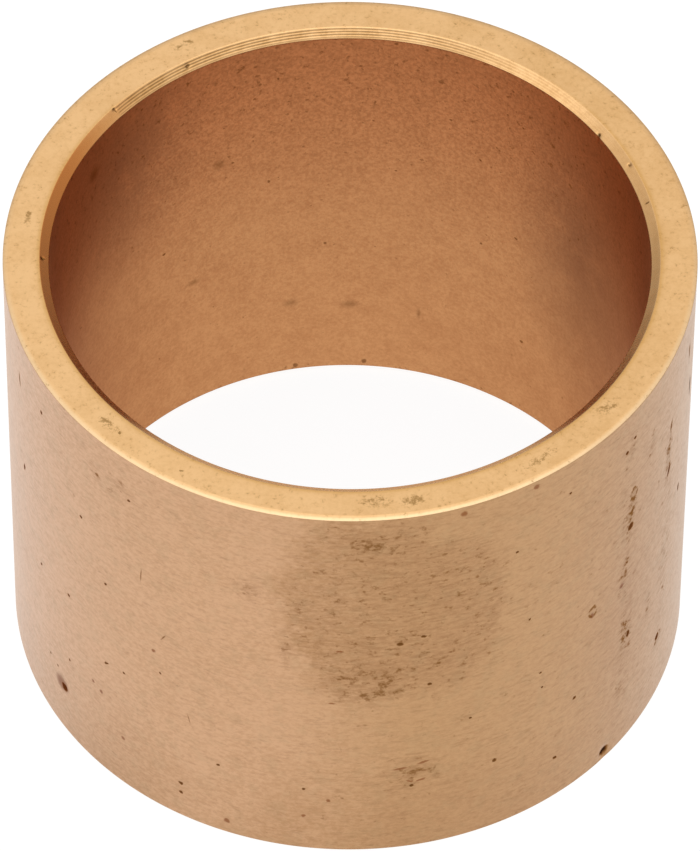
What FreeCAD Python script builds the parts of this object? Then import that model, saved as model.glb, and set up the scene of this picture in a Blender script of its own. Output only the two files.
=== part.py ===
"""Plain bronze sleeve bushing (cylindrical journal bush), turned in one piece.

The bushing is a single ring of bearing bronze.  A shaft or tube runs in its bore, and its outside is
pressed into a housing.  It is made on a lathe in this order, and the feature tree follows it:

1. the ring is turned and bored from bar, square at both ends;
2. a lead-in chamfer is cut round the bore at each end, wider across the face than it is deep;
3. the outside corner of each end is broken with a much shallower cut.

Frame: millimetres, +Z up along the bushing's axis, origin at the centre of the lower end face.
"""

import FreeCAD, Part
import os

import Sketcher

PARTS_FOLDER = "parts"
SHEET = "sizes"

# Driving dimensions, in millimetres: (name, value, what it is).
DRIVING_SIZES = [
    ("bore_diameter", 41.275, "running bore, 1-5/8 in"),
    ("wall_thickness", 3.175, "radial wall between bore and outside, 1/8 in"),
    ("sleeve_length", 36.0, "overall length between the two end faces"),
    ("lead_width", 0.65, "bore chamfer, measured across the end face"),
    ("lead_depth", 0.50, "bore chamfer, measured down the bore"),
    ("break_width", 0.40, "outside corner break, measured across the end face"),
    ("break_depth", 0.10, "outside corner break, measured down the outside"),
]

# How far a chamfering cutter reaches past the metal, so that it never shares a face with it.
CUTTER_CLEARANCE = "overrun"
CLEARANCE_SIZES = [
    (CUTTER_CLEARANCE, 1.0, "cutter section past the face and past the wall"),
]

# Sizes that follow from the driving ones, as expressions in the sheet's own names.
BORE_RADIUS = f"{SHEET}.bore_diameter / 2"
OUTER_RADIUS = f"{SHEET}.bore_diameter / 2 + {SHEET}.wall_thickness"
LENGTH = f"{SHEET}.sleeve_length"


def make_sheet(doc):
    """Adds the spreadsheet of named sizes: one row each for the name, the value and its meaning."""
    sheet = doc.addObject("Spreadsheet::Sheet", SHEET)
    for row, (name, value, meaning) in enumerate(DRIVING_SIZES + CLEARANCE_SIZES, start=1):
        sheet.set(f"A{row}", name)
        sheet.set(f"B{row}", str(value))
        sheet.set(f"C{row}", meaning)
        sheet.setAlias(f"B{row}", name)
    doc.recompute()
    return sheet


def section_plane(body):
    """Returns the body's own XZ plane, which holds every half-section."""
    return next(feature for feature in body.Origin.OriginFeatures if feature.Role == "XZ_Plane")


def number(holder, expression):
    """Returns the value of an expression in the sheet's names, as a plain number."""
    value = holder.evalExpression(expression)
    return float(getattr(value, "Value", value))


def add_section(body, name, corners):
    """Adds a closed section in the XZ plane, right of the axis, with each corner tied to the sheet.

    corners is a list of (radius, height) pairs of expressions.  Each corner gets one horizontal and
    one vertical dimension from the origin, so the section is fully constrained.
    """
    sketch = body.newObject("Sketcher::SketchObject", name)
    sketch.AttachmentSupport = [(section_plane(body), "")]
    sketch.MapMode = "FlatFace"
    places = [tuple(number(sketch, text) for text in corner) for corner in corners]
    count = len(places)
    for index, (x, y) in enumerate(places):
        next_x, next_y = places[(index + 1) % count]
        start = FreeCAD.Vector(x, y, 0)
        end = FreeCAD.Vector(next_x, next_y, 0)
        sketch.addGeometry(Part.LineSegment(start, end), False)
    for index in range(count):
        follower = (index + 1) % count
        sketch.addConstraint(Sketcher.Constraint("Coincident", index, 2, follower, 1))
    for index, corner in enumerate(corners):
        for kind, label, text, value in zip(("DistanceX", "DistanceY"), "rz", corner, places[index]):
            at = sketch.addConstraint(Sketcher.Constraint(kind, -1, 1, index, 1, value))
            constraint = f"{label}_{index}"
            sketch.renameConstraint(at, constraint)
            sketch.setExpression(f"Constraints.{constraint}", text)
    return sketch


def ring_section():
    """Half-section of the plain ring: bore to outside, lower face to upper face."""
    return [
        (BORE_RADIUS, "0"),
        (OUTER_RADIUS, "0"),
        (OUTER_RADIUS, LENGTH),
        (BORE_RADIUS, LENGTH),
    ]


def chamfer_section(corner_radius, into_wall, width, depth, upper):
    """Half-section of the cutter that takes off one corner of the ring.

    The corner lies at corner_radius on an end face.  into_wall is "+" if the wall lies outwards of the
    corner, as at the bore, and "-" if it lies inwards, as at the outside.  The cutter is a triangle on
    the corner, carried on past the face and past the wall along its own slope, so the slope's two
    crossings stay at width across the face and depth down the wall.
    """
    past = f"{SHEET}.{CUTTER_CLEARANCE}"
    out_of_wall = "-" if into_wall == "+" else "+"
    face, into_metal, off_metal = (LENGTH, "-", "+") if upper else ("0", "+", "-")
    across = f"{past} * {SHEET}.{width} / {SHEET}.{depth}"
    down = f"{past} * {SHEET}.{depth} / {SHEET}.{width}"
    return [
        (f"{corner_radius} {into_wall} ({SHEET}.{width} + {across})", f"{face} {off_metal} {past}"),
        (f"{corner_radius} {out_of_wall} {past}", f"{face} {off_metal} {past}"),
        (f"{corner_radius} {out_of_wall} {past}", f"{face} {into_metal} ({SHEET}.{depth} + {down})"),
    ]


def add_turned(body, kind, name, sketch):
    """Adds a full-turn Revolution or Groove of the sketch about the bushing's axis."""
    feature = body.newObject(kind, name)
    feature.Profile = sketch
    feature.ReferenceAxis = (sketch, ["V_Axis"])
    feature.Angle = 360.0
    return feature


def make_sleeve(doc):
    """Builds the bushing's body: the turned ring, then the four corner cuts."""
    body = doc.addObject("PartDesign::Body", "sleeve")
    body.Label = "sleeve"
    ring = add_section(body, "ring_section", ring_section())
    add_turned(body, "PartDesign::Revolution", "turned_ring", ring)
    doc.recompute()
    cuts = [
        ("bore_lead", BORE_RADIUS, "+", "lead_width", "lead_depth"),
        ("corner_break", OUTER_RADIUS, "-", "break_width", "break_depth"),
    ]
    for end, upper in (("lower", False), ("upper", True)):
        for cut, radius, into_wall, width, depth in cuts:
            name = f"{end}_{cut}"
            before = body.Shape.Volume
            corners = chamfer_section(radius, into_wall, width, depth, upper)
            sketch = add_section(body, f"{name}_section", corners)
            add_turned(body, "PartDesign::Groove", name, sketch)
            doc.recompute()
            if not body.Shape.Volume < before:
                raise RuntimeError(f"{name} cut nothing")
    body.Placement = FreeCAD.Placement()
    return body


def check(doc, bodies):
    """Stops the build if an object failed, or if a sub-part isn't one valid closed solid."""
    for item in doc.Objects:
        if {"Invalid", "Error"} & set(item.State):
            raise RuntimeError(f"{item.Name} failed: {item.State}")
    for body in bodies:
        shape = body.Shape
        if shape.isNull() or not shape.isValid() or len(shape.Solids) != 1:
            raise RuntimeError(f"{body.Label} is not one valid solid")


def main():
    """Makes the document, checks it and writes one STEP file for each sub-part."""
    doc = FreeCAD.newDocument("sleeve_bushing")
    make_sheet(doc)
    bodies = [make_sleeve(doc)]
    doc.recompute()
    check(doc, bodies)
    os.makedirs(PARTS_FOLDER, exist_ok=True)
    for body in bodies:
        body.Shape.exportStep(os.path.join(PARTS_FOLDER, f"{body.Label}.step"))
        box = body.Shape.BoundBox
        print(f"{body.Label}: {box.XLength:.3f} x {box.YLength:.3f} x {box.ZLength:.3f} mm, "
              f"{body.Shape.Volume:.1f} mm3")


main()
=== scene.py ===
"""Looks for a plain bronze sleeve bushing: the turned ring, its four finishes and a bright studio.

The ring is one closed surface of revolution.  Its half-section is walked once round, from the foot of
the outside, up, across the upper face, down the bore and back across the lower face, and each point
of that walk is carried round the axis.  Handling marks and tool marks are real relief on that surface,
and each stretch of the section wears its own finish.

Angles are turns from the front of the ring (-Y), positive to the right (+X), in degrees.  Sizes are
millimetres, and MM turns them into the metres of the shared frame.
"""

from __future__ import annotations

import logging
import math
from dataclasses import dataclass, field
from enum import Enum, IntEnum
from typing import Sequence, Union

import bpy
import numpy as np
from mathutils import Matrix, Vector


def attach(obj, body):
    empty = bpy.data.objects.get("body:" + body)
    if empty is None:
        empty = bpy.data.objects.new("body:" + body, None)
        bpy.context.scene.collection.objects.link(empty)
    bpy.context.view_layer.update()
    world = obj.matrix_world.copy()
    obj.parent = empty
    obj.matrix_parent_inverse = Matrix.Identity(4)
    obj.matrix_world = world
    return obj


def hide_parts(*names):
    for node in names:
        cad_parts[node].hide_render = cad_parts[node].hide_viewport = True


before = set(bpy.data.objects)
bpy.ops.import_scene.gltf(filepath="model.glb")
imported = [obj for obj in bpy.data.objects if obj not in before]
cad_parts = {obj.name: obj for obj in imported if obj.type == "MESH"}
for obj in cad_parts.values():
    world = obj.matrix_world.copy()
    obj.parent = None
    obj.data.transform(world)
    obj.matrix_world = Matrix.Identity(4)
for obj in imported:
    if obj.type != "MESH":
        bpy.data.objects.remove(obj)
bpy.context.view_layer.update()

MM = 0.001
TOUCH = 0.005
BACK = 180.0
WARP_OCTAVES = 3.0
CHART = "unrolled"
RUB = "rub"
GROOVE = "groove"

Socket = bpy.types.NodeSocket
Value = Union[float, Socket]
Colour = tuple[float, float, float]
Paint = Union[Socket, Colour]
Term = Union[Value, tuple[Value, float]]

log = logging.getLogger("sleeve_bushing")


class Zone(IntEnum):
    """The finishes that the ring wears, in the order of its material slots."""

    OUTSIDE = 0
    FACE = 1
    LEAD = 2
    BORE = 3


class Kind(Enum):
    """What a single mark on the metal is."""

    PIT = "pit"
    RUST = "rust"
    SCRATCH = "scratch"
    SMUDGE = "smudge"
    RING = "ring"
    GOUGE = "gouge"


@dataclass(frozen=True)
class Mark:
    """One mark, as an inspector would call it out on a drawing of the unrolled surface.

    turn is how far round it lies, in degrees.  height is its place up a wall, or its radius on an end
    face.  long and wide are its half-lengths, upright and round the ring, and lean turns it clockwise.
    """

    kind: Kind
    turn: float
    height: float
    long: float
    wide: float
    lean: float = 0.0


@dataclass(frozen=True)
class Grain:
    """A noise pattern: how big its features are, in millimetres, how many octaves it has, how strong
    each octave is beside the last, and how many times flatter than wide its features are."""

    size: float
    detail: float
    rough: float
    flat: float = 1.0


@dataclass(frozen=True)
class Warp:
    """A push that frays outlines: the size of its features and how far it reaches, in millimetres."""

    size: float
    reach: float


@dataclass(frozen=True)
class Dent:
    """A knock that moved metal: its place in the half-section, its reach and which way it pushed."""

    turn: float
    radius: float
    height: float
    reach: float
    depth: float
    push: tuple[float, float]


@dataclass(frozen=True)
class SleeveSizes:
    """The turned sizes of the sleeve in millimetres."""

    outer_radius: float
    bore_radius: float
    length: float
    face_outer: float
    face_inner: float
    break_depth: float
    lead_depth: float

    @classmethod
    def from_node(cls, node: bpy.types.Object) -> SleeveSizes:
        """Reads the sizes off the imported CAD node, whose corners all lie on the turned circles.

        Args:
            node: The CAD sleeve, standing on the floor with its axis on Z.

        Returns:
            The sizes, in millimetres.
        """
        places = np.empty(len(node.data.vertices) * 3, np.float32)
        node.data.vertices.foreach_get("co", places)
        places = places.reshape(-1, 3) / MM
        radius, height = np.hypot(places[:, 0], places[:, 1]), places[:, 2]
        length = float(height.max())
        on_face = radius[height > length - TOUCH]
        on_outside = height[radius > radius.max() - TOUCH]
        on_bore = height[radius < radius.min() + TOUCH]
        return cls(
            outer_radius=float(radius.max()),
            bore_radius=float(radius.min()),
            length=length,
            face_outer=float(on_face.max()),
            face_inner=float(on_face.min()),
            break_depth=length - float(on_outside.max()),
            lead_depth=length - float(on_bore.max()),
        )


@dataclass
class Section:
    """The half-section as a closed walk: where each row of the surface lies and what it wears.

    Row k runs to row k + 1, and the last row runs to the first.
    """

    radius: np.ndarray
    height: np.ndarray
    zone: np.ndarray
    upper_lead: np.ndarray
    rub: np.ndarray

    def outward(self) -> tuple[np.ndarray, np.ndarray]:
        """Unit normals of the rows: the walk's direction turned a quarter clockwise.

        Returns:
            The radial and the upright part of each row's normal.
        """
        along_r = np.roll(self.radius, -1) - np.roll(self.radius, 1)
        along_z = np.roll(self.height, -1) - np.roll(self.height, 1)
        size = np.hypot(along_r, along_z)
        return along_z / size, -along_r / size


@dataclass
class BronzeSleeve:
    """The turned ring, as one closed mesh with its tool marks, knocks and four finishes."""

    sizes: SleeveSizes
    columns: int = 580
    corner_ease: float = 0.06
    corner_rows: int = 4
    outside_rows: int = 44
    break_rows: int = 6
    face_rows: int = 9
    upper_lead_rows: int = 27
    lower_lead_rows: int = 10
    bore_rows: int = 28
    rub_reach: float = 0.22
    break_crown: float = 0.014
    wander: float = 0.004
    wander_waves: int = 5
    wander_lobes: tuple[int, int] = (3, 14)
    wander_lift: tuple[float, float] = (0.1, 0.5)
    wander_fade: float = 3.0
    wander_seed: int = 7
    feed_marks: float = 4.0
    feed_depth: float = 0.022
    feed_start: float = -129.0
    feed_end: float = 118.0
    feed_bite: float = 0.8
    feed_lift_off: float = 60.0
    feed_drifts: tuple[tuple[float, float, float], ...] = ((0.015, 3.0, 20.0), (0.006, 11.0, 0.0))
    feed_margins: tuple[float, float] = (0.06, 0.2)
    dent_crowding: float = 4.0
    dent_spread: float = 1.5
    fine_stations: int = 7201
    dents: Sequence[Dent] = field(default_factory=tuple)

    def corners(self) -> list[tuple[float, float]]:
        """The eight corners of the half-section, in walking order from the foot of the outside."""
        s = self.sizes
        return [
            (s.outer_radius, s.break_depth),
            (s.outer_radius, s.length - s.break_depth),
            (s.face_outer, s.length),
            (s.face_inner, s.length),
            (s.bore_radius, s.length - s.lead_depth),
            (s.bore_radius, s.lead_depth),
            (s.face_inner, 0.0),
            (s.face_outer, 0.0),
        ]

    def section(self) -> Section:
        """Walks the half-section, easing each corner and dividing each stretch between corners.

        A corner C between its two tangent points A and B is the curve (1-t)^2 A + 2t(1-t) C + t^2 B.
        A stretch is divided by (1 - cos(pi t)) / 2, which crowds its rows towards both ends.  The
        corner breaks are crowned by hand filing: they stand out by 4 t (1-t) of their crown.

        Returns:
            The rows of the walk.
        """
        corners = np.array(self.corners())
        after = np.roll(corners, -1, axis=0)
        run = after - corners
        reach = np.hypot(run[:, 0], run[:, 1])
        ease = np.minimum(self.corner_ease, np.minimum(reach, np.roll(reach, 1)) / 3)
        unit = run / reach[:, None]
        stretches = [
            (Zone.OUTSIDE, self.outside_rows, False, 0.0),
            (Zone.FACE, self.break_rows, False, self.break_crown),
            (Zone.FACE, self.face_rows, False, 0.0),
            (Zone.LEAD, self.upper_lead_rows, True, 0.0),
            (Zone.BORE, self.bore_rows, False, 0.0),
            (Zone.LEAD, self.lower_lead_rows, False, 0.0),
            (Zone.FACE, self.face_rows, False, 0.0),
            (Zone.FACE, self.break_rows, False, self.break_crown),
        ]
        points, zones, upper = [], [], []
        for index, (zone, rows, is_upper, crown) in enumerate(stretches):
            following = (index + 1) % len(stretches)
            start = corners[index] + unit[index] * ease[index]
            stop = after[index] - unit[index] * ease[following]
            share = np.linspace(0.0, 1.0, rows, endpoint=False)
            if not is_upper:
                share = (1.0 - np.cos(np.pi * share)) / 2.0
            outward = np.array([unit[index][1], -unit[index][0]])
            lift = 4.0 * crown * share * (1.0 - share)
            points.append(start + share[:, None] * (stop - start) + lift[:, None] * outward)
            turn_end = after[index] + unit[following] * ease[following]
            t = np.linspace(0.0, 1.0, self.corner_rows, endpoint=False)[:, None]
            curve = (1 - t) ** 2 * stop + 2 * t * (1 - t) * after[index] + t**2 * turn_end
            points.append(curve)
            before_mid = self.corner_rows // 2
            past_mid = self.corner_rows - before_mid
            zones.append(np.array([zone] * (rows + before_mid) + [stretches[following][0]] * past_mid))
            upper.append(np.array([is_upper] * (rows + self.corner_rows)))
        radius, height = np.concatenate(points).T
        gaps = np.hypot(radius[:, None] - corners[:, 0], height[:, None] - corners[:, 1]).min(axis=1)
        return Section(
            radius=radius,
            height=height,
            zone=np.concatenate(zones),
            upper_lead=np.concatenate(upper),
            rub=np.exp(-((gaps / self.rub_reach) ** 2)),
        )

    def stations(self) -> np.ndarray:
        """Angles of the columns, in degrees from the back round to the back.

        The columns are even, except that they crowd round each dent: the running total of
        1 + the sum of crowding * exp(-(distance / spread)^2) over the dents grows by the same step.

        Returns:
            One angle for each column.
        """
        fine = np.linspace(-BACK, BACK, self.fine_stations)
        crowd = np.ones_like(fine)
        for dent in self.dents:
            crowd += self.dent_crowding * np.exp(-(((fine - dent.turn) / self.dent_spread) ** 2))
        total = np.concatenate([[0.0], np.cumsum((crowd[1:] + crowd[:-1]) / 2.0)])
        steps = np.linspace(0.0, total[-1], self.columns, endpoint=False)
        return np.interp(steps, total, fine)

    def feed_lines(self, section: Section, angles: np.ndarray) -> np.ndarray:
        """Depth, from 0 to 1, of the grooves that the boring tool left across the upper lead.

        The groove across the lead is (1 - cos(2 pi n t)) / 2 of its share t down the lead.  The share
        drifts round the ring by a sum of sines, each with its size, lobes and phase.  The tool bit in
        at feed_start and lifted off at feed_end, which it reaches by way of the back of the ring.

        Args:
            section: The rows of the walk.
            angles: The columns, in degrees.

        Returns:
            An array of columns by rows.
        """
        rows = np.flatnonzero(section.upper_lead)
        share = np.zeros(len(section.radius))
        share[rows] = np.linspace(0.0, 1.0, len(rows))
        drift = sum(
            size * np.sin(np.radians(lobes * angles + phase)) for size, lobes, phase in self.feed_drifts
        )
        turns = self.feed_marks * (share[None, :] + drift[:, None])
        wave = (1.0 - np.cos(2.0 * np.pi * turns)) / 2.0
        past_start = (self.feed_start - angles) % 360.0
        travel = (self.feed_start - self.feed_end) % 360.0
        bite = np.clip(past_start / self.feed_bite, 0.0, 1.0)
        bite = bite * np.clip((travel - past_start) / self.feed_lift_off, 0.0, 1.0)
        top, foot = self.feed_margins
        inside = section.upper_lead * np.clip(share / top, 0.0, 1.0) * np.clip((1 - share) / foot, 0.0, 1.0)
        return wave * bite[:, None] * inside[None, :]

    def unevenness(self, section: Section, angles: np.ndarray) -> np.ndarray:
        """Slow waviness of the two walls: the mean of cosines of angle and height, fading at the edges.

        Args:
            section: The rows of the walk.
            angles: The columns, in degrees.

        Returns:
            Offset outwards in millimetres, columns by rows.
        """
        rng = np.random.default_rng(self.wander_seed)
        around, up = np.radians(angles)[:, None], section.height[None, :]
        total = np.zeros((len(angles), len(section.radius)))
        for _ in range(self.wander_waves):
            lobes, lift = rng.integers(*self.wander_lobes), rng.uniform(*self.wander_lift)
            total += np.cos(lobes * around + lift * up + rng.uniform(0.0, 2.0 * np.pi))
        on_wall = np.isin(section.zone, (Zone.OUTSIDE, Zone.BORE)) * (1.0 - section.rub)
        from_end = np.minimum(section.height, self.sizes.length - section.height)
        fading = on_wall * np.clip(from_end / self.wander_fade, 0.0, 1.0)
        return self.wander * total / self.wander_waves * fading[None, :]

    def surface(self, section: Section, angles: np.ndarray) -> tuple[np.ndarray, np.ndarray]:
        """Carries the section round the axis and presses the marks into it.

        A point is (r sin a, -r cos a, z).  Feed marks and waviness move it along its normal, and each
        dent by depth * exp(-(distance / reach)^2) along its push.

        Args:
            section: The rows of the walk.
            angles: The columns, in degrees.

        Returns:
            The points in millimetres, columns by rows by 3, and the depth of the feed marks.
        """
        grooves = self.feed_lines(section, angles)
        offset = self.unevenness(section, angles) - self.feed_depth * grooves
        normal_r, normal_z = section.outward()
        radius = section.radius[None, :] + offset * normal_r[None, :]
        height = section.height[None, :] + offset * normal_z[None, :]
        around = np.radians(angles)[:, None]
        for dent in self.dents:
            gap = (around - math.radians(dent.turn)) * dent.radius
            away = (radius - dent.radius) ** 2 + (height - dent.height) ** 2 + gap**2
            pressed = dent.depth * np.exp(-away / dent.reach**2)
            radius = radius + pressed * dent.push[0]
            height = height + pressed * dent.push[1]
        points = np.stack([radius * np.sin(around), -radius * np.cos(around), height], axis=2)
        return points, grooves

    def chart(self, section: Section, angles: np.ndarray) -> np.ndarray:
        """The unrolled map, in millimetres: u along the wall's own circle, v up it.

        On the end faces and leads v is the radius instead.  The outside and the faces are unrolled
        from the front, so they part at the back; the bore and the leads are unrolled from the back.

        Args:
            section: The rows of the walk.
            angles: The columns, in degrees.

        Returns:
            The map of each face's four corners, faces by 4 by 2, in the mesh's order of faces.
        """
        columns, rows = len(angles), len(section.radius)
        from_back = np.isin(section.zone, (Zone.BORE, Zone.LEAD))
        origin = np.where(from_back, BACK, 0.0)
        circle = np.where(section.zone == Zone.BORE, self.sizes.bore_radius, self.sizes.outer_radius)
        start = (angles[:, None] - origin[None, :] + BACK) % 360.0 - BACK
        width = np.diff(np.append(angles, angles[0] + 360.0))[:, None]
        u_near = np.radians(start) * circle[None, :]
        u_far = np.radians(start + width) * circle[None, :]
        flat = np.isin(section.zone, (Zone.FACE, Zone.LEAD))
        v_near = np.where(flat, section.radius, section.height)
        v_far = np.where(flat, np.roll(section.radius, -1), np.roll(section.height, -1))
        v_near, v_far = (np.broadcast_to(v, (columns, rows)) for v in (v_near, v_far))
        u = np.stack([u_near, u_far, u_far, u_near], axis=2)
        v = np.stack([v_near, v_near, v_far, v_far], axis=2)
        return np.stack([u, v], axis=3).reshape(-1, 4, 2)

    def build(self) -> bpy.types.Object:
        """Makes the ring's mesh: the grid of columns by rows, closed both ways.

        Returns:
            The new piece, at the origin, with its map, its attributes and its zones.
        """
        section, angles = self.section(), self.stations()
        points, grooves = self.surface(section, angles)
        columns, rows = points.shape[:2]
        column, row = np.meshgrid(np.arange(columns), np.arange(rows), indexing="ij")
        next_column, next_row = (column + 1) % columns, (row + 1) % rows
        quads = np.stack(
            [
                column * rows + row,
                next_column * rows + row,
                next_column * rows + next_row,
                column * rows + next_row,
            ],
            axis=2,
        ).reshape(-1, 4)
        mesh = bpy.data.meshes.new("bronze_sleeve")
        mesh.from_pydata((points.reshape(-1, 3) * MM).tolist(), [], quads.tolist())
        mesh.polygons.foreach_set("material_index", np.tile(section.zone, columns).astype(np.int32))
        mesh.polygons.foreach_set("use_smooth", np.ones(len(quads), bool))
        unrolled = mesh.uv_layers.new(name=CHART)
        unrolled.uv.foreach_set("vector", self.chart(section, angles).astype(np.float32).ravel())
        for name, values in ((RUB, np.tile(section.rub, (columns, 1))), (GROOVE, grooves)):
            attribute = mesh.attributes.new(name, "FLOAT", "POINT")
            attribute.data.foreach_set("value", values.astype(np.float32).ravel())
        mesh.update(calc_edges=True)
        piece = bpy.data.objects.new("bronze_sleeve", mesh)
        bpy.context.scene.collection.objects.link(piece)
        log.info("bronze_sleeve: %d columns by %d rows, %d quads", columns, rows, len(quads))
        return piece

    def dress(self, piece: bpy.types.Object, finishes: Sequence[Finish]) -> None:
        """Gives the ring its materials, one slot for each zone in the order of Zone."""
        for finish in finishes:
            piece.data.materials.append(finish.material())


class FinishSheet:
    """The node sheet of one finish.  Each method adds nodes and hands back the socket they end in."""

    def __init__(self, name: str) -> None:
        """Starts a material that holds only a Principled shader and its output.

        Args:
            name: The material's name.
        """
        self.material = bpy.data.materials.new(name)
        self.material.use_nodes = True
        self.tree = self.material.node_tree
        self.tree.nodes.clear()
        self.shader = self.tree.nodes.new("ShaderNodeBsdfPrincipled")
        output = self.tree.nodes.new("ShaderNodeOutputMaterial")
        self.tree.links.new(self.shader.outputs["BSDF"], output.inputs["Surface"])

    def feed(self, socket: Socket, value: Union[Value, Colour]) -> None:
        """Joins a socket to another, or sets it to a plain number or colour."""
        if isinstance(value, bpy.types.NodeSocket):
            self.tree.links.new(value, socket)
        elif socket.type == "RGBA":
            socket.default_value = (*value, 1.0)
        else:
            socket.default_value = value

    def place(self) -> Socket:
        """Object coordinates in millimetres."""
        source = self.tree.nodes.new("ShaderNodeTexCoord").outputs["Object"]
        return self.vector("SCALE", source, scale=1.0 / MM)

    def chart(self) -> Socket:
        """The unrolled map, in millimetres."""
        node = self.tree.nodes.new("ShaderNodeUVMap")
        node.uv_map = CHART
        return node.outputs["UV"]

    def painted(self, name: str) -> Socket:
        """One of the numbers that the mesh carries at its points."""
        node = self.tree.nodes.new("ShaderNodeAttribute")
        node.attribute_name = name
        return node.outputs["Fac"]

    def vector(
        self,
        operation: str,
        first: Socket,
        second: Union[Socket, tuple[float, float, float], None] = None,
        scale: Value = 1.0,
    ) -> Socket:
        """A Vector Math node.

        Args:
            operation: Blender's name for the operation.
            first: The first vector.
            second: The second vector, where the operation has one.
            scale: The factor of a SCALE.

        Returns:
            Its vector, or its number for LENGTH.
        """
        node = self.tree.nodes.new("ShaderNodeVectorMath")
        node.operation = operation
        self.feed(node.inputs[0], first)
        if second is not None:
            self.feed(node.inputs[1], second)
        if operation == "SCALE":
            self.feed(node.inputs["Scale"], scale)
        return node.outputs["Value" if operation == "LENGTH" else "Vector"]

    def axes(self, vector: Socket) -> tuple[Socket, Socket, Socket]:
        """The three numbers of a vector."""
        node = self.tree.nodes.new("ShaderNodeSeparateXYZ")
        self.feed(node.inputs[0], vector)
        return node.outputs["X"], node.outputs["Y"], node.outputs["Z"]

    def number(self, operation: str, first: Value, second: Value) -> Socket:
        """A Math node of two values."""
        node = self.tree.nodes.new("ShaderNodeMath")
        node.operation = operation
        self.feed(node.inputs[0], first)
        self.feed(node.inputs[1], second)
        return node.outputs["Value"]

    def times(self, first: Value, second: Value) -> Socket:
        """The product of two values."""
        return self.number("MULTIPLY", first, second)

    def folded(self, operation: str, base: Value, terms: Sequence[Term]) -> Value:
        """Joins each term to the base in turn: a plain value, or a value and the weight it carries."""
        for term in terms:
            base = self.number(operation, base, self.times(*term) if isinstance(term, tuple) else term)
        return base

    def plus(self, base: Value, *terms: Term) -> Value:
        """The sum of the base and the terms."""
        return self.folded("ADD", base, terms)

    def deepest(self, base: Value, *terms: Term) -> Value:
        """The greatest of the base and the terms."""
        return self.folded("MAXIMUM", base, terms)

    def noise(self, vector: Socket, grain: Grain) -> Socket:
        """Fractal noise of the given grain.

        Args:
            vector: Coordinates in millimetres.
            grain: The size and character of its features.

        Returns:
            A number from 0 to 1, mostly near 0.5.
        """
        if grain.flat != 1.0:
            vector = self.vector("MULTIPLY", vector, (1.0, 1.0, grain.flat))
        node = self.tree.nodes.new("ShaderNodeTexNoise")
        self.feed(node.inputs["Vector"], vector)
        node.inputs["Scale"].default_value = 1.0 / grain.size
        node.inputs["Detail"].default_value = grain.detail
        node.inputs["Roughness"].default_value = grain.rough
        return node.outputs["Fac"]

    def warped(self, vector: Socket, source: Socket, warp: Warp) -> Socket:
        """Coordinates pushed about by a warp, so that outlines come out ragged.

        Args:
            vector: The coordinates to push.
            source: Where the push is read from.
            warp: How it pushes.

        Returns:
            The pushed coordinates.
        """
        node = self.tree.nodes.new("ShaderNodeTexNoise")
        self.feed(node.inputs["Vector"], source)
        node.inputs["Scale"].default_value = 1.0 / warp.size
        node.inputs["Detail"].default_value = WARP_OCTAVES
        centred = self.vector("SUBTRACT", node.outputs["Color"], (0.5, 0.5, 0.5))
        return self.vector("ADD", vector, self.vector("SCALE", centred, scale=2.0 * warp.reach))

    def ease(self, value: Value, low: Value, high: Value, start: Value = 0.0, stop: Value = 1.0) -> Socket:
        """Smooth step of value: start below low, stop above high."""
        node = self.tree.nodes.new("ShaderNodeMapRange")
        node.interpolation_type = "SMOOTHSTEP"
        given = {"Value": value, "From Min": low, "From Max": high, "To Min": start, "To Max": stop}
        for name, number in given.items():
            self.feed(node.inputs[name], number)
        return node.outputs["Result"]

    def blend(self, share: Value, first: Paint, second: Paint) -> Socket:
        """Colour that goes from first to second as share goes from 0 to 1."""
        node = self.tree.nodes.new("ShaderNodeMix")
        node.data_type = "RGBA"
        colours = [socket for socket in node.inputs if socket.type == "RGBA"]
        self.feed(node.inputs["Factor"], share)
        self.feed(colours[0], first)
        self.feed(colours[1], second)
        return next(socket for socket in node.outputs if socket.type == "RGBA")

    def specks(self, vector: Socket, spacing: float, share: Value, growth: float, soft: float) -> Socket:
        """Scattered round specks of uneven size, at most one in each cell of a random division.

        A cell draws a number from 0 to 1, and the radius of its speck is growth times how far that
        number passes 1 - share, so share is the part of the cells that hold one.

        Args:
            vector: Coordinates in millimetres.
            spacing: The usual distance between cells, in millimetres.
            share: The part of the cells that hold a speck.
            growth: How fast the specks grow past the threshold, in millimetres.
            soft: The width of their soft outlines, in millimetres.

        Returns:
            From 0 outside to 1 in the middle of a speck.
        """
        node = self.tree.nodes.new("ShaderNodeTexVoronoi")
        self.feed(node.inputs["Vector"], vector)
        node.inputs["Scale"].default_value = 1.0 / spacing
        drawn = self.tree.nodes.new("ShaderNodeSeparateColor")
        self.feed(drawn.inputs["Color"], node.outputs["Color"])
        passed = self.number("ADD", drawn.outputs["Red"], self.number("SUBTRACT", share, 1.0))
        radius = self.times(passed, growth / spacing)
        inside = self.number("SUBTRACT", radius, node.outputs["Distance"])
        return self.ease(inside, 0.0, soft / spacing)

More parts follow.
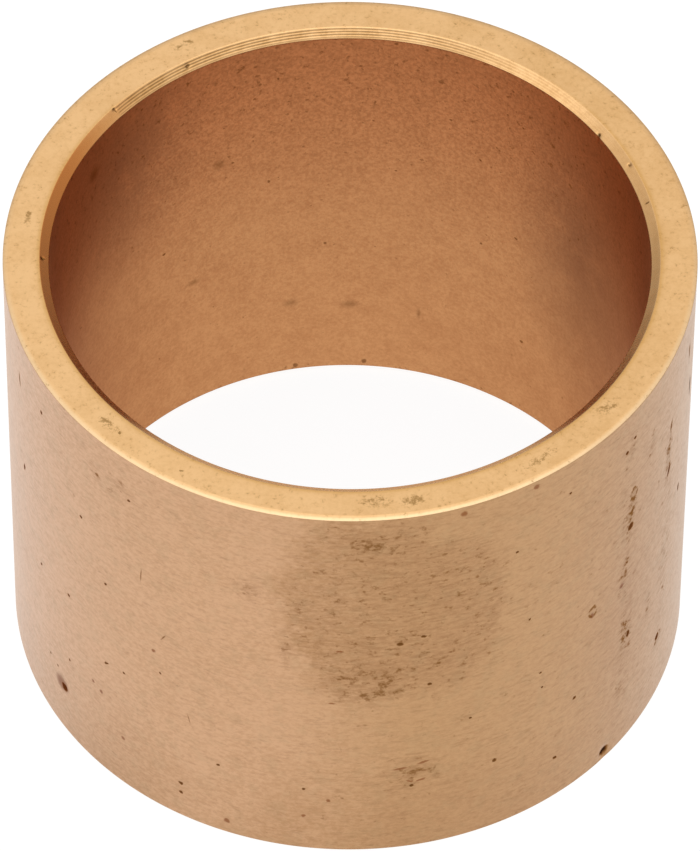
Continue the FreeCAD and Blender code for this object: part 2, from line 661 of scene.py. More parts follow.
    def marked(self, chart: Socket, marks: Sequence[Mark], circle: float, front: float) -> Value:
        """How deep inside any of the marks a point is: 1 in the middle of one and 0 outside all.

        Each mark is an ellipse.  Its own frame is moved to its place, turned by its lean and scaled by
        its half-lengths, so a ball of radius 1 there, fading from its middle, fills its outline.

        Args:
            chart: The unrolled map, already pushed about.
            marks: The marks.
            circle: The radius at which the map was unrolled.
            front: The angle at the middle of the map, in degrees.

        Returns:
            A number from 0 to 1.
        """
        depth: Value = 0.0
        for mark in marks:
            frame_of = self.tree.nodes.new("ShaderNodeMapping")
            frame_of.vector_type = "TEXTURE"
            self.feed(frame_of.inputs["Vector"], chart)
            turn = (mark.turn - front + BACK) % 360.0 - BACK
            frame_of.inputs["Location"].default_value = (math.radians(turn) * circle, mark.height, 0.0)
            frame_of.inputs["Rotation"].default_value = (0.0, 0.0, -math.radians(mark.lean))
            frame_of.inputs["Scale"].default_value = (mark.wide, mark.long, 1.0)
            ball = self.tree.nodes.new("ShaderNodeTexGradient")
            ball.gradient_type = "SPHERICAL"
            self.feed(ball.inputs["Vector"], frame_of.outputs["Vector"])
            depth = self.deepest(ball.outputs["Fac"], depth)
        return depth

    def bump(self, height: Socket, depth: float, before: Union[Socket, None] = None) -> Socket:
        """Relief of the given depth in millimetres, on top of any before it.

        Args:
            height: From 0 at the bottom to 1 at the top.
            depth: The depth in millimetres.
            before: The normal to start from.

        Returns:
            The new normal.
        """
        node = self.tree.nodes.new("ShaderNodeBump")
        node.inputs["Distance"].default_value = depth * MM
        self.feed(node.inputs["Height"], height)
        if before is not None:
            self.feed(node.inputs["Normal"], before)
        return node.outputs["Normal"]


@dataclass(frozen=True)
class Finish:
    """What every finish of this bronze shares: its tones and how it throws light back.

    circle is the radius at which its map is unrolled and front the angle at the map's middle.  Stains
    are matt and brown, so at a glancing angle they throw back dirt_tint instead of edge_tint.
    """

    name: str
    circle: float
    bright: Colour
    dull: Colour
    front: float = 0.0
    dark: Colour = (0.115, 0.038, 0.006)
    edge_tint: Colour = (1.0, 1.0, 1.0)
    dirt_tint: Colour = (0.30, 0.17, 0.10)
    roughness: float = 0.42
    rough_swing: tuple[float, float] = (-0.04, 0.05)
    dirt_rough: float = 0.2
    stained_metal: float = 0.92
    film: float = 0.35
    film_roughness: float = 0.4
    film_ior: float = 1.5
    marks: tuple[Mark, ...] = ()

    def material(self) -> bpy.types.Material:
        """Builds the finish and returns its new material."""
        raise NotImplementedError

    def inside(self, sheet: FinishSheet, chart: Socket, marks: Sequence[Mark]) -> Value:
        """How deep inside any of the marks a point is, from 0 to 1."""
        return sheet.marked(chart, marks, self.circle, self.front)

    def of_kind(self, kind: Kind) -> list[Mark]:
        """The finish's marks of one kind."""
        return [mark for mark in self.marks if mark.kind is kind]

    def depth_of(self, sheet: FinishSheet, chart: Socket, kind: Kind, full: float) -> Socket:
        """How strongly the marks of one kind show at a point: 0 outside them, 1 from full inwards.

        Args:
            sheet: The node sheet.
            chart: The unrolled map, already pushed about.
            kind: The kind of mark.
            full: How deep inside a mark it reaches its full strength, from 0 to 1.

        Returns:
            A number from 0 to 1.
        """
        return sheet.ease(self.inside(sheet, chart, self.of_kind(kind)), 0.0, full)

    def complete(
        self,
        sheet: FinishSheet,
        colour: Socket,
        dirt: Socket,
        pattern: Socket,
        normal: Socket,
        metal: Union[Socket, None] = None,
    ) -> bpy.types.Material:
        """Joins the looks to the shader, under a thin clear film of oxide and oil.

        Stains are a little less metallic and rougher than the metal, and the film is missing on them.

        Args:
            sheet: The node sheet.
            colour: The colour of the surface.
            dirt: How stained a point is, from 0 to 1.
            pattern: The noise that makes the roughness uneven.
            normal: The normal, with its relief.
            metal: How metallic a point is, where that doesn't follow the stains.

        Returns:
            The finished material.
        """
        shader = sheet.shader.inputs
        low, high = (self.roughness + swing for swing in self.rough_swing)
        uneven = sheet.ease(pattern, 0.3, 0.7, low, high)
        sheet.feed(shader["Base Color"], colour)
        if metal is None:
            metal = sheet.ease(dirt, 0.3, 1.0, 1.0, self.stained_metal)
        sheet.feed(shader["Metallic"], metal)
        sheet.feed(shader["Roughness"], sheet.plus(uneven, (dirt, self.dirt_rough)))
        sheet.feed(shader["Normal"], normal)
        sheet.feed(shader["Coat Weight"], sheet.ease(dirt, 0.0, 0.6, self.film, 0.0))
        sheet.feed(shader["Coat Roughness"], self.film_roughness)
        sheet.feed(shader["Coat IOR"], self.film_ior)
        sheen = sheet.blend(sheet.ease(dirt, 0.0, 0.7), self.edge_tint, self.dirt_tint)
        sheet.feed(shader["Specular Tint"], self.edge_tint)
        sheet.feed(shader["Specular Tint"], sheen)
        return sheet.material


@dataclass(frozen=True)
class OutsideFinish(Finish):
    """The outside wall: polished round the ring, worn, specked with old stains and scratched.

    patches are stained areas with torn outlines, bands are darker stretches, and streaks are where
    specks gather.  shade_span says how far round the ring the right-hand side reaches that is darkened
    as painted shade: two angles where it begins and two where it ends.  A crowd is how much a place raises
    the share of specks.
    """

    painted_lighting_side: Colour = (0.520, 0.288, 0.122)
    rust: Colour = (0.290, 0.088, 0.013)
    olive: Colour = (0.340, 0.230, 0.100)
    gouge_black: Colour = (0.030, 0.013, 0.007)
    patches: tuple[Mark, ...] = ()
    streaks: tuple[Mark, ...] = ()
    bands: tuple[Mark, ...] = ()
    shade_span: tuple[float, float, float, float] = (-16.0, 14.0, 100.0, 165.0)
    ragged: Warp = Warp(0.30, 0.12)
    torn: Warp = Warp(2.2, 1.1)
    frayed: Warp = Warp(0.6, 0.5)
    curled: Warp = Warp(0.60, 0.38)
    scored: Warp = Warp(0.5, 0.03)
    crumbled: Warp = Warp(0.22, 0.09)
    mottle: Grain = Grain(0.42, 4.0, 0.72, flat=1.6)
    dashes: Grain = Grain(0.60, 4.0, 0.66, flat=1.25)
    fibre: Grain = Grain(1.10, 4.0, 0.68, flat=4.5)
    cloud: Grain = Grain(6.0, 3.0, 0.55)
    verdigris: Grain = Grain(1.4, 4.0, 0.65)
    patch_stain: float = 0.48
    band_stain: float = 0.65
    side_crowd: float = 0.030
    patch_crowd: float = 0.072
    streak_crowd: float = 0.062
    smudge_crowd: float = 0.095
    speck_dirt: float = 0.50
    rust_dirt: float = 0.22
    pit_dirt: float = 0.80
    scratch_dirt: float = 0.60
    rust_cover: float = 0.80
    gouge_cover: float = 0.85

    def shaded_side(self, sheet: FinishSheet, chart: Socket) -> Socket:
        """How far a point is into the right-hand side darkened as painted shade: 0 on the lit side and 1 on
        the shaded one.
        """
        u = sheet.axes(chart)[0]
        rise_from, rise_to, fall_from, fall_to = (math.radians(a) * self.circle for a in self.shade_span)
        return sheet.times(sheet.ease(u, rise_from, rise_to), sheet.ease(u, fall_from, fall_to, 1.0, 0.0))

    def hoops(self, sheet: FinishSheet, chart: Socket, dashes: Socket) -> Socket:
        """Dried rings: dark at their rims, paler inside, and broken up into dashes."""
        depth = self.inside(sheet, chart, self.of_kind(Kind.RING))
        rim = sheet.times(sheet.ease(depth, 0.05, 0.35), sheet.ease(depth, 0.40, 0.80, 0.58, 0.10))
        return sheet.times(rim, sheet.ease(dashes, 0.38, 0.56, 0.1, 0.9))

    def material(self) -> bpy.types.Material:
        """Builds the finish and returns its new material."""
        sheet = FinishSheet(self.name)
        place, chart = sheet.place(), sheet.chart()
        ragged = sheet.warped(chart, place, self.ragged)
        torn = sheet.warped(chart, place, self.torn)
        frayed = sheet.warped(torn, place, self.frayed)
        curled = sheet.warped(chart, place, self.curled)
        mottle = sheet.noise(place, self.mottle)
        dashes = sheet.noise(place, self.dashes)
        side = self.shaded_side(sheet, torn)
        patch = sheet.ease(self.inside(sheet, frayed, self.patches), 0.02, 0.30)
        band = self.inside(sheet, torn, self.bands)

        # Tone: a slow cloud and a fine mottle, darker in the patches and the bands, and darker on the
        # right-hand side as painted shade.
        cloud = sheet.ease(sheet.noise(place, self.cloud), 0.3, 0.7, -0.06, 0.10)
        swing = sheet.ease(side, 0.0, 1.0, 0.33, 0.45)
        stain = sheet.plus(sheet.times(patch, self.patch_stain), (band, self.band_stain), cloud)
        stain = sheet.plus(stain, sheet.ease(mottle, 0.34, 0.66, -0.12, swing))
        # Painted shade: across the right-hand side of the wall the colour blends towards a darker tone.
        colour = sheet.blend(stain, sheet.blend(side, self.bright, self.painted_lighting_side), self.dull)
        olive = sheet.ease(sheet.noise(place, self.verdigris), 0.48, 0.66, 0.0, 0.14)
        colour = sheet.blend(olive, colour, self.olive)

        # Specks: fibres, dashes and dots, the denser the higher the crowd.
        gathered = sheet.ease(self.inside(sheet, torn, self.streaks), 0.0, 0.7)
        smudge = self.depth_of(sheet, curled, Kind.SMUDGE, 0.8)
        crowd = sheet.plus(
            sheet.times(side, self.side_crowd),
            (patch, self.patch_crowd),
            (gathered, self.streak_crowd),
            (smudge, self.smudge_crowd),
        )
        fibre = sheet.plus(sheet.noise(place, self.fibre), crowd)
        haze = sheet.ease(fibre, 0.50, 0.74, 0.0, 0.17)
        level = sheet.plus(dashes, crowd)
        dirt = sheet.plus(haze, sheet.ease(level, 0.63, 0.82, 0.0, 0.42))
        speckle = sheet.warped(place, place, self.crumbled)
        fine = sheet.specks(speckle, 1.0, sheet.plus(crowd, 0.05), 1.5, 0.12)

        # Single marks: rust under the dirt, then pits, scratches and rings, and the gouges blackened on
        # top.
        rust = self.depth_of(sheet, ragged, Kind.RUST, 0.6)
        colour = sheet.blend(sheet.times(rust, self.rust_cover), colour, self.rust)
        pit = self.depth_of(sheet, ragged, Kind.PIT, 0.55)
        cut = self.depth_of(sheet, sheet.warped(chart, place, self.scored), Kind.SCRATCH, 0.8)
        dirt = sheet.deepest(
            dirt,
            (fine, self.speck_dirt),
            (rust, self.rust_dirt),
            (pit, self.pit_dirt),
            (cut, self.scratch_dirt),
            self.hoops(sheet, curled, dashes),
        )
        colour = sheet.blend(dirt, colour, self.dark)
        gouge = self.depth_of(sheet, ragged, Kind.GOUGE, 0.5)
        colour = sheet.blend(sheet.times(gouge, self.gouge_cover), colour, self.gouge_black)
        dirt = sheet.deepest(dirt, gouge)

        normal = sheet.bump(mottle, 0.006)
        normal = sheet.bump(sheet.number("SUBTRACT", 1.0, pit), 0.02, normal)
        return self.complete(sheet, colour, dirt, mottle, normal)


@dataclass(frozen=True)
class FacedEndFinish(Finish):
    """An end face and its corner break: faced smooth, golden, with olive stains.

    bored is the radius at which the face meets the lead.  The outer corner is worn pale all round and
    painted paler still towards the front as a painted highlight, and the inner one is amber with old oil.
    """

    bored: float = 21.3
    worn_rim_and_highlight: Colour = (0.940, 0.730, 0.470)
    amber: Colour = (0.560, 0.290, 0.060)
    ragged: Warp = Warp(0.45, 0.25)
    rings: Grain = Grain(0.12, 3.0, 0.6)
    grain: Grain = Grain(0.32, 4.0, 0.68)
    cloud: Grain = Grain(3.0, 3.0, 0.6)
    ring_wander: float = 0.02
    smudge_crowd: float = 0.215
    smudge_dirt: float = 0.66
    speck_dirt: float = 0.28
    pit_dirt: float = 0.80

    def material(self) -> bpy.types.Material:
        """Builds the finish and returns its new material."""
        sheet = FinishSheet(self.name)
        place, chart = sheet.place(), sheet.chart()
        ragged = sheet.warped(chart, place, self.ragged)
        flat = sheet.vector("MULTIPLY", place, (1.0, 1.0, 0.0))
        radius = sheet.vector("LENGTH", flat)
        joined = sheet.tree.nodes.new("ShaderNodeCombineXYZ")
        sheet.feed(joined.inputs["X"], radius)
        slow = sheet.vector("SCALE", flat, scale=self.ring_wander)
        rings = sheet.noise(sheet.vector("ADD", joined.outputs["Vector"], slow), self.rings)
        grain = sheet.noise(place, self.grain)
        x, y, _ = sheet.axes(place)

        # Tone: cloudy and grained, darker towards the right.
        tone = sheet.plus(
            sheet.ease(sheet.noise(place, self.cloud), 0.3, 0.7, 0.0, 0.40),
            sheet.ease(grain, 0.34, 0.66, -0.15, 0.25),
            sheet.ease(x, -16.0, 24.0, -0.05, 0.32),
        )
        colour = sheet.blend(tone, self.bright, self.dull)
        # Painted highlight: the outer rim blends towards a pale tone, a little all round for wear and most
        # at the front.
        near_edge = sheet.ease(radius, self.circle - 0.45, self.circle - 0.02, 0.0, 0.50)
        painted_lighting_side = sheet.ease(y, 8.0, -15.0, 0.15, 1.0)
        colour = sheet.blend(sheet.times(near_edge, painted_lighting_side), colour, self.worn_rim_and_highlight)
        near_lead = sheet.ease(radius, self.bored + 0.8, self.bored + 0.3, 0.0, 0.55)
        oily = sheet.times(sheet.times(sheet.painted(RUB), near_lead), sheet.ease(y, 18.0, 8.0))
        colour = sheet.blend(oily, colour, self.amber)

        # Stains and pits.
        smudge = self.depth_of(sheet, ragged, Kind.SMUDGE, 0.9)
        level = sheet.plus(grain, (smudge, self.smudge_crowd))
        dirt = sheet.deepest(
            sheet.times(sheet.ease(level, 0.57, 0.80), self.smudge_dirt),
            (sheet.specks(place, 1.3, 0.07, 1.3, 0.25), self.speck_dirt),
            (self.depth_of(sheet, ragged, Kind.PIT, 0.5), self.pit_dirt),
        )
        colour = sheet.blend(dirt, colour, self.dark)
        normal = sheet.bump(grain, 0.003, sheet.bump(rings, 0.0015))
        return self.complete(sheet, colour, dirt, rings, normal)


@dataclass(frozen=True)
class LeadFinish(Finish):
    """The bored lead-in chamfer: pale at the back, brown at the left, oily at the sides, and in front less
    metallic and painted pale as a painted highlight.
    """

    rough_swing: tuple[float, float] = (-0.04, 0.06)
    dirt_rough: float = 0.0
    stained: Colour = (0.690, 0.335, 0.098)
    heat_tint_and_shade: Colour = (0.550, 0.197, 0.050)
    front_highlight_tone: Colour = (0.930, 0.620, 0.320)
    oil_from: float = 19.0
    oil_to: float = 7.0
    ragged: Warp = Warp(0.3, 0.08)
    cloud: Grain = Grain(1.5, 3.0, 0.6)
    grain: Grain = Grain(0.25, 3.0, 0.6)
    groove_shade: float = 0.45
    rub_shine: float = 0.20
    pit_dirt: float = 0.85
    front_metal: float = 0.50

    def material(self) -> bpy.types.Material:
        """Builds the finish and returns its new material."""
        sheet = FinishSheet(self.name)
        place, chart = sheet.place(), sheet.chart()
        ragged = sheet.warped(chart, place, self.ragged)
        groove, rub = sheet.painted(GROOVE), sheet.painted(RUB)
        cloud, grain = sheet.noise(place, self.cloud), sheet.noise(place, self.grain)
        x, y, _ = sheet.axes(place)
        oiled = sheet.times(
            sheet.ease(y, self.oil_from, self.oil_to), sheet.ease(y, -self.oil_from, -self.oil_to)
        )
        oiled = sheet.number("SUBTRACT", oiled, sheet.ease(x, 12.0, 20.0, 0.0, 0.60))
        tone = sheet.plus(
            sheet.ease(cloud, 0.3, 0.7, 0.0, 0.4),
            (groove, self.groove_shade),
            sheet.ease(x, -17.0, -3.0, 0.25, 0.0),
            sheet.ease(grain, 0.35, 0.65, -0.08, 0.10),
        )
        colour = sheet.blend(tone, sheet.blend(oiled, self.bright, self.stained), self.dull)
        colour = sheet.blend(sheet.times(rub, self.rub_shine), colour, self.bright)
        colour = sheet.blend(sheet.times(oiled, sheet.ease(x, -11.0, -20.0)), colour, self.heat_tint_and_shade)
        # Painted highlight: the front stretch is painted pale and made less metallic, so it reads light.
        front = sheet.ease(y, -13.0, -18.5)
        colour = sheet.blend(front, colour, self.front_highlight_tone)
        in_groove = sheet.times(groove, sheet.ease(cloud, 0.35, 0.65, 0.30, 0.60))
        pit = self.depth_of(sheet, ragged, Kind.PIT, 0.5)
        dirt = sheet.deepest(in_groove, (pit, self.pit_dirt))
        colour = sheet.blend(dirt, colour, self.dark)
        metal = sheet.ease(front, 0.0, 1.0, 1.0, self.front_metal)
        return self.complete(sheet, colour, dirt, grain, sheet.bump(grain, 0.0006), metal)


@dataclass(frozen=True)
class BoreFinish(Finish):
    """The bore: reamed smooth, coppery, peppered with fine specks towards its top, and painted redder
    towards its top and darker at its sides as painted shade.
    """

    rough_swing: tuple[float, float] = (-0.04, 0.06)
    dirt_rough: float = 0.0
    heat_tint_and_shade: Colour = (0.610, 0.258, 0.102)
    shaded: Colour = (0.330, 0.150, 0.066)
    bands: tuple[Mark, ...] = ()
    speck_from: float = 15.0
    speck_to: float = 33.0
    ragged: Warp = Warp(0.4, 0.15)
    torn: Warp = Warp(3.0, 1.2)
    cloud: Grain = Grain(5.0, 3.0, 0.6)
    blotch: Grain = Grain(1.2, 5.0, 0.78)
    mottle: Grain = Grain(0.26, 3.0, 0.70)
    pepper: Grain = Grain(0.45, 3.0, 0.62)
    band_cover: float = 0.80
    rising_crowd: float = 0.08
    pepper_dirt: float = 0.50
    speck_dirt: float = 0.42
    pit_dirt: float = 0.62
    smudge_dirt: float = 0.40

    def material(self) -> bpy.types.Material:
        """Builds the finish and returns its new material."""
        sheet = FinishSheet(self.name)
        place, chart = sheet.place(), sheet.chart()
        ragged = sheet.warped(chart, place, self.ragged)
        up = sheet.axes(place)[2]
        rising = sheet.ease(up, self.speck_from, self.speck_to)
        mottle = sheet.noise(place, self.mottle)
        swing = sheet.ease(rising, 0.0, 1.0, 0.18, 0.50)
        tone = sheet.plus(
            sheet.ease(sheet.noise(place, self.cloud), 0.3, 0.7, 0.0, 0.20),
            sheet.ease(sheet.noise(place, self.blotch), 0.36, 0.64, -0.06, 0.22),
            sheet.ease(mottle, 0.36, 0.64, -0.06, swing),
        )
        band = self.inside(sheet, sheet.warped(chart, place, self.torn), self.bands)
        # Painted shade: towards its top the bore is painted redder.
        colour = sheet.blend(tone, sheet.blend(rising, self.bright, self.heat_tint_and_shade), self.dull)
        # Painted shade: the bands darken the bore's left and right sides.
        colour = sheet.blend(sheet.times(band, self.band_cover), colour, self.shaded)

        # Specks gather towards the top and again along the foot.
        at_foot = sheet.ease(up, 0.3, 1.5, 0.12, 0.0)
        crowd = sheet.plus(sheet.times(rising, self.rising_crowd), at_foot)
        level = sheet.plus(sheet.noise(place, self.pepper), crowd)
        fine = sheet.specks(place, 1.2, sheet.plus(crowd, 0.08), 1.3, 0.12)
        dirt = sheet.deepest(
            sheet.times(sheet.ease(level, 0.66, 0.80), self.pepper_dirt),
            (fine, self.speck_dirt),
            (self.depth_of(sheet, ragged, Kind.PIT, 0.5), self.pit_dirt),
            (self.depth_of(sheet, ragged, Kind.SMUDGE, 1.0), self.smudge_dirt),
        )
        colour = sheet.blend(dirt, colour, self.dark)
        return self.complete(sheet, colour, dirt, mottle, sheet.bump(mottle, 0.0020))


@dataclass(frozen=True)
class Softbox:
    """A square diffused lamp that faces the sleeve."""

    name: str
    turn: float
    elevation: float
    distance: float
    side: float
    power: float
    tint: Colour = (1.0, 1.0, 1.0)

    def build(self, aim: Vector) -> bpy.types.Object:
        """Hangs the lamp.

        Args:
            aim: The point that it faces, in metres.

        Returns:
            The lamp.
        """
        lamp = bpy.data.lights.new(self.name, "AREA")
        lamp.shape = "SQUARE"
        lamp.size = self.side
        lamp.energy = self.power
        lamp.color = self.tint
        holder = bpy.data.objects.new(self.name, lamp)
        away = direction(self.turn, self.elevation)
        holder.location = aim + away * self.distance
        holder.rotation_euler = (-away).to_track_quat("-Z", "Y").to_euler()
        bpy.context.scene.collection.objects.link(holder)
        return holder


@dataclass(frozen=True)
class Studio:
    """A bright white tabletop studio: floor, dome of soft light, softboxes and the camera.

    Lengths are metres here, except floor_gap.  Each tent step is a range of the sine of elevation and
    the brightness that the dome gains across it.
    """

    aim: Vector
    floor_half: float = 3.0
    floor_tone: Colour = (0.12, 0.12, 0.12)
    floor_glow: float = 0.92
    floor_roughness: float = 0.9
    floor_gap: float = 0.01
    tent_tone: Colour = (1.0, 1.0, 1.0)
    tent_foot: float = 0.40
    tent_steps: tuple[tuple[float, float, float], ...] = ((0.0, 0.70, 0.60), (0.82, 1.0, 0.70))
    camera_elevation: float = 49.5
    camera_distance: float = 0.6016
    camera_roll: float = 0.41
    lens: float = 363.0
    clip: tuple[float, float] = (0.01, 20.0)
    rise: tuple[float, float] = (0.0012, -0.0014)
    softboxes: tuple[Softbox, ...] = ()

    def dome(self) -> None:
        """Lights the room from a soft tent whose brightness climbs smoothly from horizon to zenith."""
        world = bpy.data.worlds.new("studio_tent")
        world.use_nodes = True
        tree = world.node_tree
        background = tree.nodes["Background"]
        background.inputs["Color"].default_value = (*self.tent_tone, 1.0)
        heading = tree.nodes.new("ShaderNodeTexCoord")
        parts = tree.nodes.new("ShaderNodeSeparateXYZ")
        tree.links.new(heading.outputs["Generated"], parts.inputs[0])
        level: Union[Socket, None] = None
        for low, high, added in self.tent_steps:
            step = tree.nodes.new("ShaderNodeMapRange")
            step.interpolation_type = "SMOOTHSTEP"
            tree.links.new(parts.outputs["Z"], step.inputs["Value"])
            step.inputs["From Min"].default_value = low
            step.inputs["From Max"].default_value = high
            step.inputs["To Max"].default_value = added
            total = tree.nodes.new("ShaderNodeMath")
            tree.links.new(step.outputs["Result"], total.inputs[0])
            total.inputs[1].default_value = self.tent_foot
            if level is not None:
                tree.links.new(level, total.inputs[1])
            level = total.outputs["Value"]
        tree.links.new(level, background.inputs["Strength"])
        bpy.context.scene.world = world

    def floor(self) -> bpy.types.Object:
        """Lays the pale floor a hair under the sleeve.

        Returns:
            The floor.
        """
        mesh = bpy.data.meshes.new("floor")
        half, level = self.floor_half, -self.floor_gap * MM
        corners = [(-half, -half, level), (half, -half, level), (half, half, level), (-half, half, level)]
        mesh.from_pydata(corners, [], [(0, 1, 2, 3)])
        sheet = FinishSheet("floor_card")
        sheet.feed(sheet.shader.inputs["Base Color"], self.floor_tone)
        sheet.feed(sheet.shader.inputs["Roughness"], self.floor_roughness)
        sheet.feed(sheet.shader.inputs["Emission Color"], (1.0, 1.0, 1.0))
        sheet.feed(sheet.shader.inputs["Emission Strength"], self.floor_glow)
        mesh.materials.append(sheet.material)
        card = bpy.data.objects.new("floor", mesh)
        bpy.context.scene.collection.objects.link(card)
        return card

    def camera(self) -> bpy.types.Object:
        """Stands the camera at the viewing angle, looking at the middle of the sleeve.

        Returns:
            The camera.
        """
        view = bpy.data.cameras.new("view")
        view.lens = self.lens
        view.shift_x, view.shift_y = self.rise
        view.clip_start, view.clip_end = self.clip
        holder = bpy.data.objects.new("view", view)
        back = direction(0.0, self.camera_elevation)
        turned = (-back).to_track_quat("-Z", "Y").to_matrix().to_4x4()
        rolled = turned @ Matrix.Rotation(math.radians(self.camera_roll), 4, "Z")
        holder.matrix_world = Matrix.Translation(self.aim + back * self.camera_distance) @ rolled
        bpy.context.scene.collection.objects.link(holder)
        bpy.context.scene.camera = holder
        return holder

    def build(self) -> None:
        """Sets up the whole studio and plain colour handling."""
        self.dome()
        self.floor()
        for box in self.softboxes:
            box.build(self.aim)
        self.camera()
        bpy.context.scene.view_settings.view_transform = "Standard"
        log.info("studio: %d softboxes", len(self.softboxes))


def direction(turn: float, elevation: float) -> Vector:
    """Unit vector away from the sleeve, towards a turn from the front and a height above the floor."""
    a, e = math.radians(turn), math.radians(elevation)
    return Vector((math.sin(a) * math.cos(e), -math.cos(a) * math.cos(e), math.sin(e)))


def spots(kind: Kind, size: float, *places: tuple[float, float]) -> tuple[Mark, ...]:
    """Round marks of one kind and one half-size, at the given turns and heights."""
    return tuple(Mark(kind, turn, height, size, size) for turn, height in places)


def marks(kind: Kind, *rows: tuple[float, ...]) -> tuple[Mark, ...]:
    """Marks of one kind, each a row of turn, height, long, wide and, where it leans, lean."""
    return tuple(Mark(kind, *row) for row in rows)


OUTSIDE_MARKS = (
    *spots(Kind.PIT, 0.14,
           (34.0, 14.9), (34.4, 13.2), (28.7, 29.3), (39.0, 32.7), (21.0, 13.0), (31.5, 21.4)),
    *spots(Kind.PIT, 0.15,
           (-58.5, 6.3), (-61.0, 6.6), (-54.5, 8.6), (-32.7, 14.9), (-40.5, 12.5), (-44.2, 20.9)),
    *spots(Kind.PIT, 0.18,
           (-54.2, 15.9), (-63.5, 15.3), (-38.5, 31.7), (-7.2, 6.7), (-50.0, 26.0), (-22.0, 7.4)),
    *spots(Kind.PIT, 0.2,
           (-98.0, 28.0), (-121.0, 9.0), (-150.0, 19.0), (110.0, 24.0), (139.0, 6.0), (166.0, 30.0)),
    *spots(Kind.PIT, 0.22,
           (-29.0, 3.7), (-29.0, 2.7), (13.7, 17.8), (10.9, 6.9), (25.5, 7.4), (52.4, 32.2), (54.6, 33.0),
           (37.6, 4.4), (41.5, 9.8)),
    *marks(Kind.PIT,
           (-56.4, 4.8, 0.5, 0.46), (-44.5, 12.2, 0.12, 0.34, -30.0), (-70.0, 22.8, 0.45, 0.22, 10.0),
           (-61.5, 32.3, 0.22, 0.18), (8.6, 22.6, 0.24, 0.34), (12.6, 23.1, 0.18, 0.28),
           (54.4, 23.7, 0.5, 0.4, 15.0), (55.0, 11.8, 0.45, 0.24), (66.0, 6.6, 0.45, 0.4),
           (67.8, 23.9, 0.7, 0.26, 25.0), (74.0, 19.3, 0.45, 0.26), (49.6, 0.85, 0.58, 0.62, 25.0)),
    *spots(Kind.RUST, 0.22,
           (-46.0, 8.5), (-48.0, 8.9), (-3.0, 5.6), (-7.2, 3.7), (-34.0, 17.0), (-41.0, 5.1)),
    *spots(Kind.RUST, 0.3,
           (-106.0, 12.0), (-138.0, 31.0), (96.0, 10.0), (128.0, 17.0)),
    *spots(Kind.RUST, 0.32,
           (-20.5, 1.4), (52.5, 18.0), (19.0, 35.2), (32.0, 35.3)),
    *marks(Kind.RUST,
           (-57.2, 4.9, 0.95, 1.05), (-1.3, 22.1, 0.15, 0.34), (-2.5, 16.4, 0.12, 0.28),
           (8.9, 8.9, 0.17, 0.66, -8.0), (12.9, 9.3, 0.17, 0.62, -15.0), (12.5, 7.4, 0.16, 0.5, -20.0),
           (10.6, 7.4, 0.14, 0.36, 30.0), (45.0, 17.6, 0.4, 0.2)),
    *marks(Kind.SCRATCH,
           (-32.0, 19.0, 0.6, 0.08, 30.0), (-36.3, 24.5, 1.0, 0.07, 4.0), (-27.3, 11.3, 0.7, 0.06, -12.0),
           (-71.0, 31.6, 1.0, 0.2, -8.0), (68.1, 28.5, 0.9, 0.24, 12.0), (78.1, 31.8, 1.2, 0.3),
           (80.5, 27.1, 1.5, 0.35), (118.0, 14.0, 0.07, 3.2, 6.0)),
    *marks(Kind.SMUDGE,
           (-40.5, 32.9, 0.6, 1.1), (-46.0, 32.0, 0.7, 0.9), (-16.0, 27.4, 1.6, 0.9, 20.0),
           (3.4, 33.2, 1.0, 1.7), (7.2, 33.9, 0.28, 1.3), (8.9, 23.0, 1.0, 0.55), (3.6, 17.2, 0.9, 3.4),
           (-10.3, 21.5, 3.4, 0.6), (11.3, 8.3, 1.2, 1.6), (52.6, 6.0, 1.9, 0.65, 12.0),
           (53.8, 12.5, 2.6, 0.6), (52.8, 19.0, 2.4, 0.6, 8.0), (54.4, 25.5, 3.2, 0.7, 6.0),
           (54.0, 32.0, 2.2, 0.8, 15.0), (60.5, 30.0, 2.4, 0.5, 10.0), (67.4, 25.5, 4.2, 0.6, 8.0),
           (61.5, 12.0, 2.8, 0.55, 5.0), (66.3, 6.4, 1.3, 1.0), (-132.0, 15.0, 1.5, 1.8),
           (148.0, 22.0, 1.2, 2.1)),
    *marks(Kind.RING,
           (2.3, 33.4, 0.85, 1.05), (45.2, 18.0, 0.75, 0.55), (55.0, 27.0, 0.85, 0.55, 10.0)),
    *marks(Kind.GOUGE,
           (80.5, 27.0, 1.2, 0.22), (49.6, 0.85, 0.4, 0.42, 25.0)),
)

OUTSIDE_PATCHES = (
    *marks(Kind.SMUDGE,
           (3.5, 27.0, 12.0, 7.6), (15.0, 25.0, 10.0, 6.0)),
)

OUTSIDE_BANDS = (
    *marks(Kind.SMUDGE,
           (54.0, 15.0, 34.0, 7.5), (-46.0, -1.0, 11.0, 15.0), (18.0, -1.0, 12.0, 22.0),
           (-9.0, -2.0, 14.0, 9.0), (-131.0, 20.0, 30.0, 9.0)),
)

OUTSIDE_STREAKS = (
    *marks(Kind.SMUDGE,
           (-16.0, 27.4, 2.6, 2.0), (54.2, 18.0, 19.0, 1.6), (67.5, 19.0, 16.0, 1.3), (10.5, 8.0, 3.4, 3.2),
           (3.0, 18.5, 3.0, 5.0), (-42.0, 32.0, 2.2, 3.4), (-149.0, 14.0, 12.0, 1.6)),
)

FACE_MARKS = (
    *marks(Kind.PIT,
           (-43.5, 22.4, 0.1, 0.16), (-30.0, 22.5, 0.08, 0.2)),
    *marks(Kind.SMUDGE,
           (4.5, 22.2, 0.75, 1.9), (11.0, 22.4, 0.7, 1.5), (52.0, 22.2, 0.8, 1.1), (34.3, 22.4, 0.5, 2.6),
           (-46.3, 22.4, 0.6, 1.7), (-98.0, 22.4, 0.4, 1.2), (-149.0, 22.8, 0.35, 1.2)),
)

LEAD_MARKS = (
    *marks(Kind.PIT,
           (-129.0, 21.2, 0.3, 0.12), (-147.0, 21.0, 0.14, 0.3), (123.9, 20.75, 0.14, 0.2),
           (113.9, 21.05, 0.1, 0.16), (-88.7, 21.05, 0.22, 0.14), (103.8, 21.05, 0.18, 0.12)),
)

